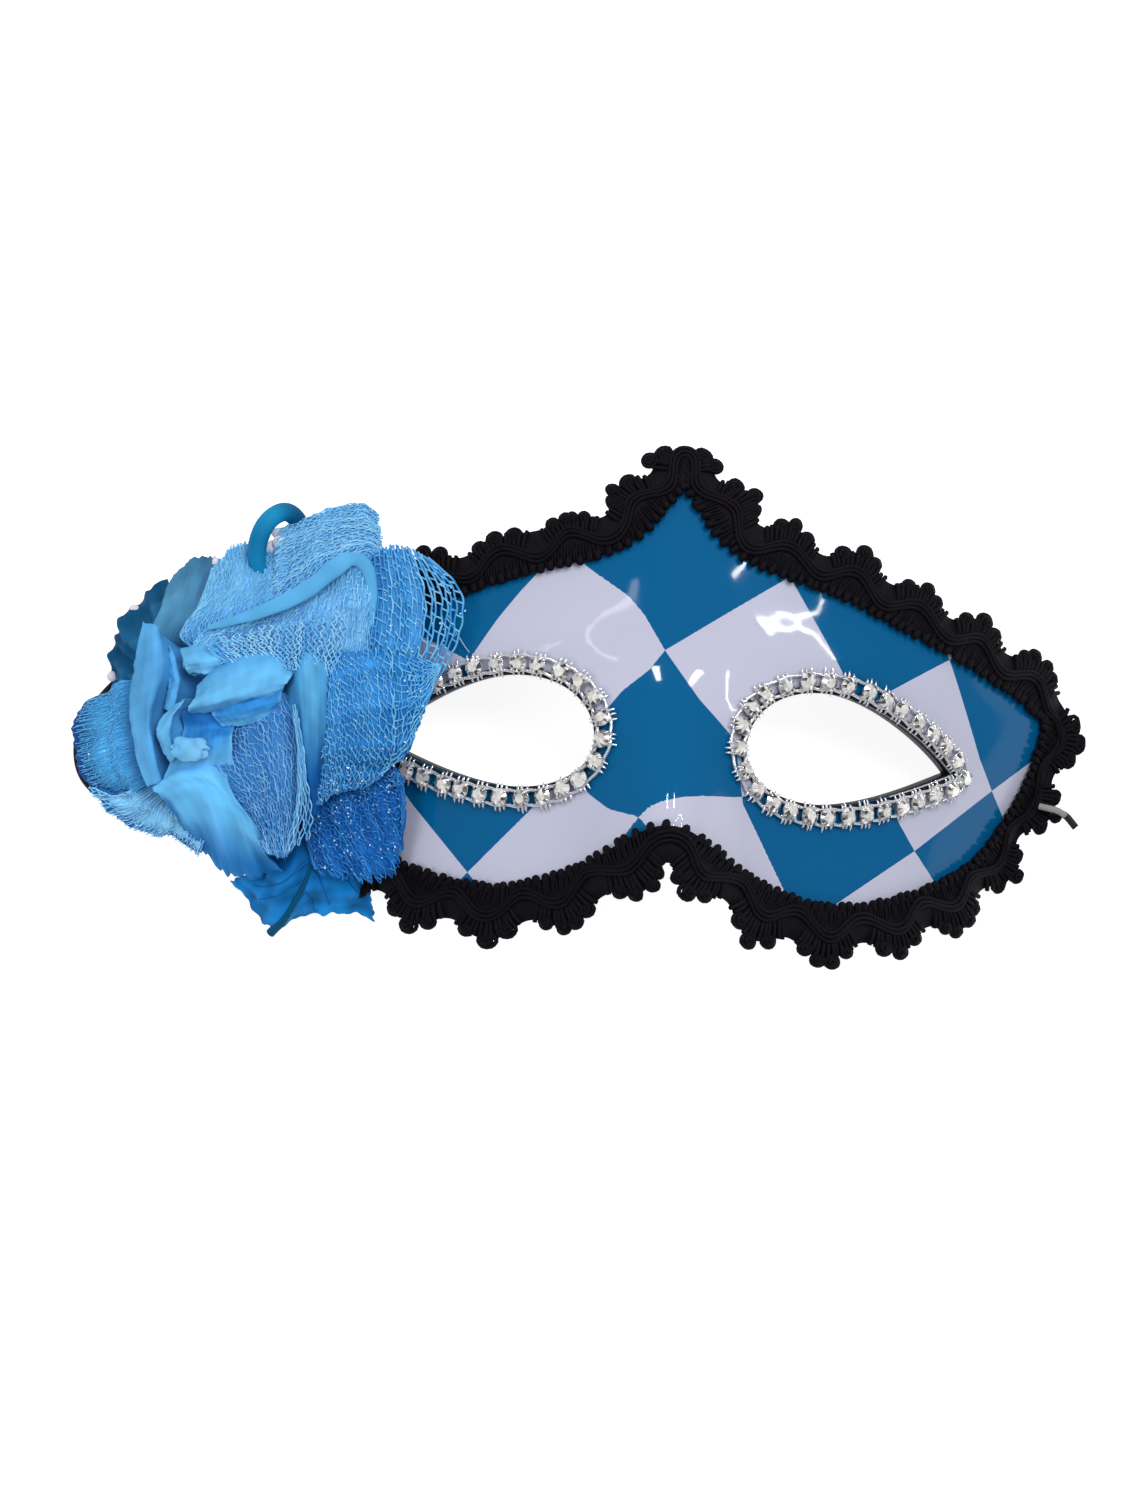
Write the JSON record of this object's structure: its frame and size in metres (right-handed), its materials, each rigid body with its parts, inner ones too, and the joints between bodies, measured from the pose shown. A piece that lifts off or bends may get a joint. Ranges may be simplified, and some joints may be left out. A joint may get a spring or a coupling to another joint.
{
  "type": "masquerade eye mask",
  "caption": "Moulded half mask with teardrop eye holes, a picot gimp braid edge, rhinestone bands round the eyes, a layered fabric rose on one temple and a round elastic strap",
  "frame": {"origin": "under the middle of the mask's box, on the surface that its temples rest on", "axes": "+X to the right of someone who looks at the front of the mask, +Y towards the brow, +Z the way the mask faces"},
  "size_m": [0.2459, 0.1214, 0.0684],
  "materials": {
    "print": "gloss harlequin print",
    "braid": "black gimp braid",
    "stones": "clear stones in silver cups",
    "satin": "sky blue satin",
    "net": "blue glitter net",
    "teal": "teal satin",
    "elastic": "black covered round elastic"
  },
  "bodies": {
    "root": {"mask_shell": "print", "gimp_braid": "braid", "rhinestone_band_right": "stones", "rhinestone_band_left": "stones", "rose_core": "satin", "petal_satin_back": "satin", "petal_satin_top": "satin", "petal_satin_left": "satin", "petal_satin_low": "satin", "petal_satin_right": "satin", "petal_inner_top": "satin", "petal_inner_left": "satin", "petal_inner_low": "satin", "petal_net_frill": "net", "petal_net_right": "net", "petal_net_side": "net", "petal_net_top": "net", "petal_net_back": "net", "petal_net_left": "net", "petal_chiffon_low": "net", "petal_net_low": "net", "leaf_low": "teal", "petal_teal_left": "teal", "ribbon_loop": "teal", "elastic_strap": "elastic", "elastic_end": "elastic"}
  },
  "joints": []
}
